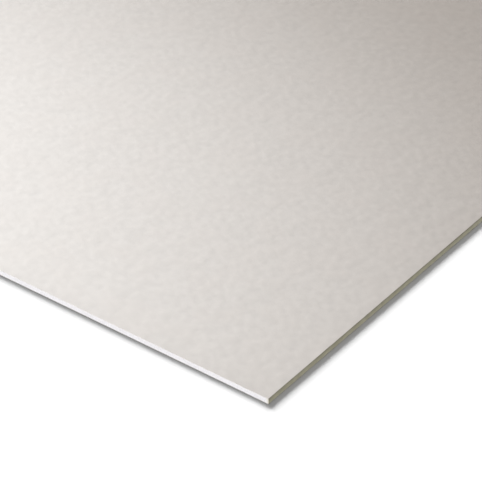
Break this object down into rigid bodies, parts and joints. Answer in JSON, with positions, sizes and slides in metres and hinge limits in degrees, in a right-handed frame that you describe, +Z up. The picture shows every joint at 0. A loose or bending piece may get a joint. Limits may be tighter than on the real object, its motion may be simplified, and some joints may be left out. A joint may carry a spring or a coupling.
{
  "type": "drywall sheet",
  "caption": "Flat rectangular gypsum wallboard: a plaster core under ivory face paper that wraps both long edges, with grey back paper, for lining walls and ceilings.",
  "frame": {"origin": "middle of the sheet's back, on the level surface that it lies on", "axes": "+X across the width to a paper-wrapped long edge, +Y along the length to a cut end, +Z up out of the face"},
  "size_m": [1.2, 2.4, 0.0095],
  "materials": {
    "gypsum": "matt chalky white set gypsum with fine foam pores, cut square",
    "face_paper": "matt ivory paper with a fine fibre mottle, ready for paint",
    "back_paper": "matt grey-brown recycled paper with visible fibres and flecks"
  },
  "bodies": {
    "root": {"gypsum_core": "gypsum", "face_paper": "face_paper", "back_paper": "back_paper"}
  },
  "joints": []
}
